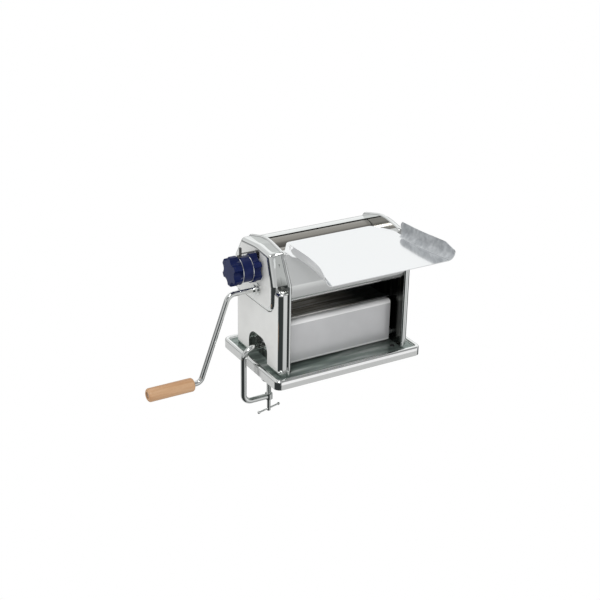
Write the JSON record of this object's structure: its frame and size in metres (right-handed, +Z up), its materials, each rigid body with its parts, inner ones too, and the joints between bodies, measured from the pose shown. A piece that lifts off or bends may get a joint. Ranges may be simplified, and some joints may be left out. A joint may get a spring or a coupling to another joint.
{
  "type": "manual pasta roller machine",
  "caption": "Hand-cranked pasta sheeter with geared rollers, a thickness knob, a lift-off feed tray and a screw clamp for the table edge.",
  "frame": {"origin": "middle of the base's underside, at the level of the rubber feet", "axes": "+X to the operator's right, away from the crank; +Y to the back, away from the feed tray's front edge; +Z up"},
  "size_m": [0.475, 0.2977, 0.3325],
  "materials": {
    "bright_steel": "bright, polished",
    "roller_steel": "ground and plated",
    "plain_steel": "satin",
    "gear_steel": "cut steel, lightly greased",
    "plated_rod": "bright plated",
    "bronze": "sintered bronze, matt",
    "navy_plastic": "glossy moulded plastic",
    "beech": "turned beech, clear lacquer",
    "black_rubber": "matt"
  },
  "bodies": {
    "machine": {"base_plate": "bright_steel", "rubber_feet": "black_rubber", "left_frame": "bright_steel", "right_frame": "bright_steel", "left_cover": "bright_steel", "gear_cover": "bright_steel", "right_cover": "bright_steel", "front_guard": "bright_steel", "rear_guard": "bright_steel", "front_panel": "bright_steel", "exit_slide": "bright_steel", "tie_rods": "plain_steel", "tie_bolts": "plain_steel", "base_screws": "plain_steel", "cover_screws": "plain_steel", "rear_bushes": "bronze", "rear_scraper": "plain_steel", "crank_bush": "plated_rod", "knob_bush": "plated_rod", "idler_pin": "plain_steel", "index_pin": "plain_steel", "dial_pointer": "bright_steel", "clamp_socket": "plain_steel"},
    "carriage": {"left_block": "plain_steel", "right_block": "plain_steel", "front_bushes": "bronze", "tie_bar": "plain_steel", "cam_yoke": "plain_steel", "front_scraper": "plain_steel"},
    "front_roll": {"front_roller": "roller_steel", "front_roller_gear": "gear_steel"},
    "rear_roll": {"rear_roller": "roller_steel", "rear_roller_gear": "gear_steel", "drive_gear": "gear_steel"},
    "idler": {"idler_gear": "gear_steel"},
    "crank": {"crank_shaft": "plain_steel", "crank_pinion": "gear_steel", "crank_collar": "plated_rod", "crank_arm": "plated_rod", "handle_rivet": "plain_steel"},
    "handle": {"handle_grip": "beech"},
    "cam": {"cam_spindle": "plain_steel", "spindle_nut": "plain_steel", "knob_spring": "plain_steel"},
    "knob": {"knob_grip": "navy_plastic", "knob_rings": "bright_steel", "knob_drum": "navy_plastic", "knob_star": "navy_plastic"},
    "clamp": {"clamp_rod": "plated_rod"},
    "pad": {"clamp_pad": "plated_rod"},
    "screw": {"clamp_screw": "plated_rod"},
    "cross_bar": {"clamp_bar": "plated_rod"},
    "tray": {"feed_tray": "bright_steel"}
  },
  "joints": [
    {"name": "rear_roller_spin", "type": "hinge", "parent": "machine", "child": "rear_roll", "pos_m": [0, 0.0357, 0.188], "axis": [1, 0, 0], "continuous": true},
    {"name": "crank_turn", "type": "hinge", "parent": "machine", "child": "crank", "pos_m": [-0.1365, -0.0098, 0.148], "axis": [1, 0, 0], "continuous": true},
    {"name": "idler_spin", "type": "hinge", "parent": "machine", "child": "idler", "pos_m": [-0.124, 0.01458, 0.15786], "axis": [1, 0, 0], "continuous": true},
    {"name": "carriage_slide", "type": "slide", "parent": "machine", "child": "carriage", "axis": [0, -1, 0], "range_m": [0, 0.0045]},
    {"name": "front_roller_spin", "type": "hinge", "parent": "carriage", "child": "front_roll", "pos_m": [0, -0.0098, 0.188], "axis": [1, 0, 0], "continuous": true},
    {"name": "handle_spin", "type": "hinge", "parent": "crank", "child": "handle", "pos_m": [-0.29, -0.0098, 0.002], "axis": [1, 0, 0], "continuous": true},
    {"name": "knob_turn", "type": "hinge", "parent": "machine", "child": "cam", "pos_m": [-0.13, -0.0098, 0.188], "axis": [1, 0, 0], "range_deg": [0, 300]},
    {"name": "knob_pull", "type": "slide", "parent": "cam", "child": "knob", "axis": [-1, 0, 0], "range_m": [0, 0.003], "stiffness_N_per_m": 900, "springref_m": -0.006},
    {"name": "clamp_out", "type": "slide", "parent": "machine", "child": "clamp", "axis": [-1, 0, 0], "range_m": [0, 0.02]},
    {"name": "pad_travel", "type": "slide", "parent": "clamp", "child": "pad", "axis": [0, 0, 1], "range_m": [0, 0.015]},
    {"name": "screw_turn", "type": "hinge", "parent": "pad", "child": "screw", "pos_m": [-0.1065, -0.005, -0.05], "axis": [0, 0, 1], "range_deg": [0, 3600]},
    {"name": "bar_slide", "type": "slide", "parent": "screw", "child": "cross_bar", "axis": [0.9659, 0.2588, 0], "range_m": [-0.015, 0.015]},
    {"name": "tray_lift", "type": "slide", "parent": "machine", "child": "tray", "axis": [0, 0, 1], "range_m": [0, 0.06]}
  ],
  "couplings": [
    {"joint": "crank_turn", "follows": "rear_roller_spin", "ratio": 1.7778},
    {"joint": "idler_spin", "follows": "rear_roller_spin", "ratio": -1.8824},
    {"joint": "front_roller_spin", "follows": "rear_roller_spin", "ratio": -1},
    {"joint": "knob_turn", "follows": "carriage_slide", "rad_per_m": 1163.5},
    {"joint": "screw_turn", "follows": "pad_travel", "rad_per_m": 4188.8}
  ]
}
